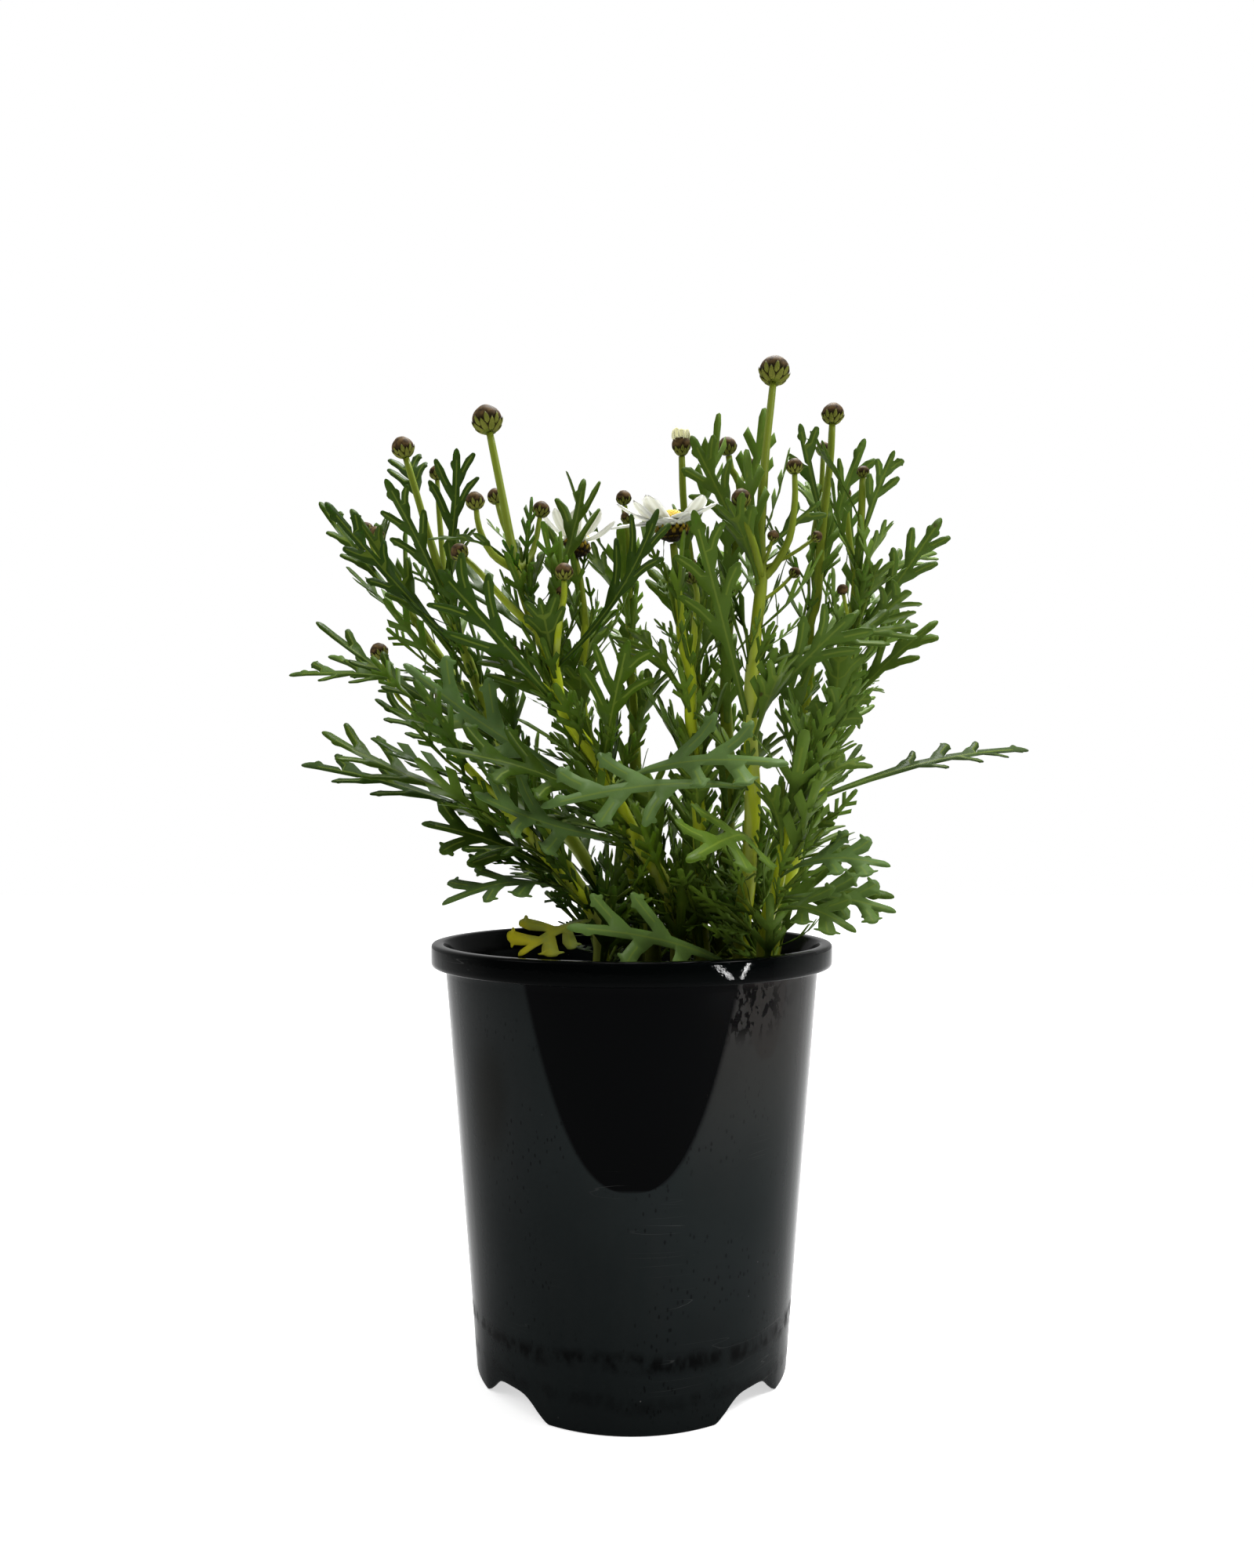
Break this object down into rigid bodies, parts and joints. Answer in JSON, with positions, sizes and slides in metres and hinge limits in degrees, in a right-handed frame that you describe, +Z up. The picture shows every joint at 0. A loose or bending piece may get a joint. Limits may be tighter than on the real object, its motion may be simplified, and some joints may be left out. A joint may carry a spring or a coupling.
{
  "type": "potted daisy",
  "caption": "Bushy marguerite daisy with cut leaves, closed buds and open white flowers, growing in a tall black nursery pot.",
  "frame": {"origin": "centre of the pot's footprint on the ground, on the pot's axis", "axes": "+Z up along the pot's axis, -Y towards the viewer of the picture, +X to the viewer's right"},
  "size_m": [0.2843, 0.1766, 0.3491],
  "materials": {
    "pot": "glossy black polypropylene, dusty under the rim, with fine scratches",
    "soil": "crumbly dark potting mix",
    "leafy_stem": "slightly fleshy green leaf and ribbed yellow-green stem",
    "bud": "olive green scales with dark brown margins",
    "petals": "soft white petals with long grooves",
    "disc": "yellow florets"
  },
  "bodies": {
    "root": {"back_flower_cup": "bud", "back_flower_disc": "disc", "back_flower_petals": "petals", "bud_centre_high": "bud", "bud_centre_high_side": "bud", "bud_centre_low": "bud", "bud_centre_right_back": "bud", "bud_centre_right_low": "bud", "bud_far_left": "bud", "bud_fork_left": "bud", "bud_fork_right": "bud", "bud_left_behind": "bud", "bud_left_inner": "bud", "bud_left_low": "bud", "bud_left_pair_back": "bud", "bud_left_pair_front": "bud", "bud_left_tall": "bud", "bud_opening": "bud", "bud_opening_petals": "petals", "bud_outer_left_high": "bud", "bud_outer_left_low": "bud", "bud_outer_left_side": "bud", "bud_right_behind": "bud", "bud_right_edge": "bud", "bud_right_inner": "bud", "bud_right_pair": "bud", "bud_right_rear": "bud", "bud_right_second": "bud", "bud_right_tall": "bud", "front_flower_cup": "bud", "front_flower_disc": "disc", "front_flower_petals": "petals", "pot": "pot", "soil": "soil", "stem_back_flower": "leafy_stem", "stem_back_left": "leafy_stem", "stem_back_mid": "leafy_stem", "stem_back_right": "leafy_stem", "stem_far_left": "leafy_stem", "stem_fork": "leafy_stem", "stem_front_flower": "leafy_stem", "stem_left_main": "leafy_stem", "stem_low_left": "leafy_stem", "stem_opening": "leafy_stem", "stem_right_back": "leafy_stem", "stem_right_far": "leafy_stem", "stem_right_low": "leafy_stem", "stem_right_main": "leafy_stem"}
  },
  "joints": []
}
